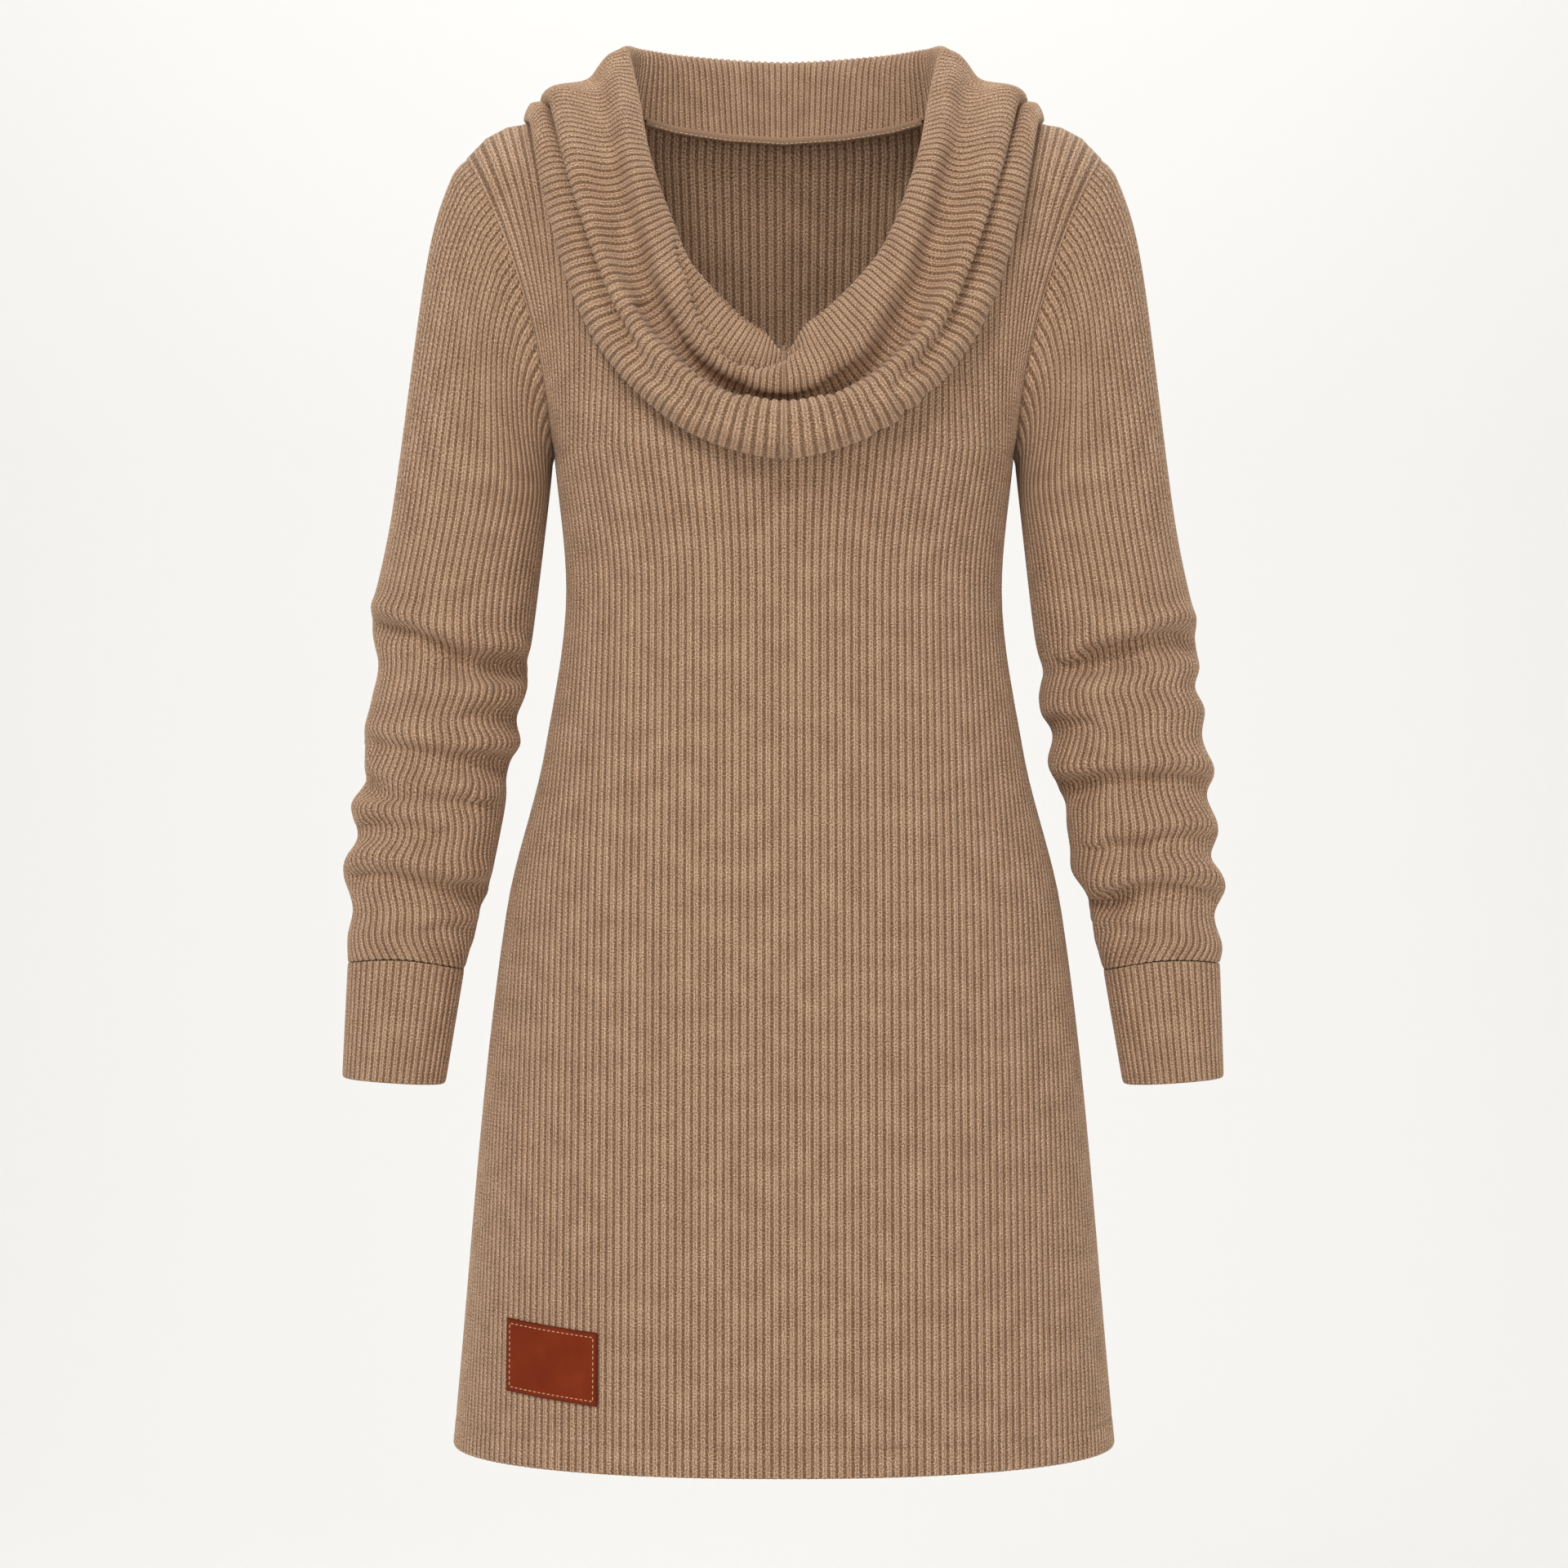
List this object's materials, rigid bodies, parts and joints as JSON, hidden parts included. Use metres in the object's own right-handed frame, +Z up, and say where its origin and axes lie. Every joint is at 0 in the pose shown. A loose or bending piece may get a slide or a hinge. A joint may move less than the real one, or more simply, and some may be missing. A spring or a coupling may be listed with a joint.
{
  "type": "sweater dress",
  "caption": "Long-sleeved rib knit sweater dress with a wide folded cowl collar, flared skirt, snug cuffs and a small blank leather patch near the hem.",
  "frame": {"origin": "between the shoulders at the height of the back neck seam, where the wearer carries the dress", "axes": "+Z up along the dress, towards the collar; -Y is the dress's front; +X is the viewer's right when facing the front"},
  "size_m": [0.5595, 0.283, 0.8933],
  "materials": {
    "rib_knit": "heathered tan rib knit, soft and matt",
    "binding": "narrow tan tape, matt",
    "patch_leather": "smooth rust-brown leather, slight sheen"
  },
  "bodies": {
    "root": {"front": "rib_knit", "back": "rib_knit", "sleeve_left": "rib_knit", "sleeve_right": "rib_knit", "cuff_left": "rib_knit", "cuff_right": "rib_knit", "cowl_collar": "rib_knit", "neck_binding": "binding", "leather_patch": "patch_leather"}
  },
  "joints": []
}
